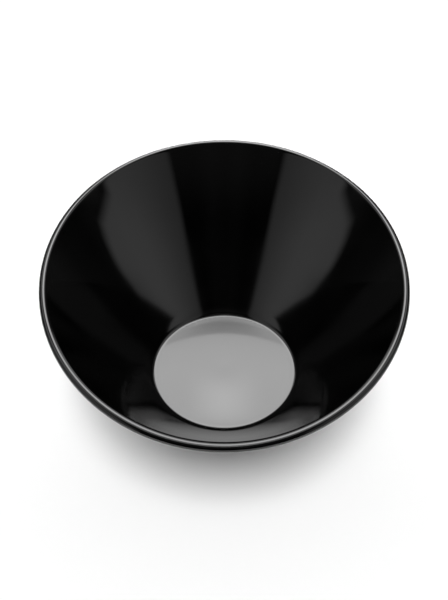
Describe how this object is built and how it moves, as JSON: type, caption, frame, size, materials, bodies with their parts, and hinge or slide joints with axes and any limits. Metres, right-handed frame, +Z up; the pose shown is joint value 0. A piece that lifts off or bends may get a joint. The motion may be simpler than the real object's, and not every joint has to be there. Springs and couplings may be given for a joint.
{
  "type": "melamine bowl",
  "caption": "Conical serving bowl in glossy black melamine with a slanted rim, low at the front and high at the back, on a foot with a rubber grip ring.",
  "frame": {"origin": "on the table, under the centre of the rim's outline, which is a circle seen from above", "axes": "+Z up, +Y towards the high back of the rim, -Y towards its low front; the bowl is mirrored left to right about the plane X = 0"},
  "size_m": [0.2, 0.2, 0.1057],
  "materials": {
    "melamine_black": "high-gloss moulded melamine with faint concentric polishing marks",
    "grip_rubber": "matte elastomer"
  },
  "bodies": {
    "root": {"bowl": "melamine_black", "grip_ring": "grip_rubber"}
  },
  "joints": []
}
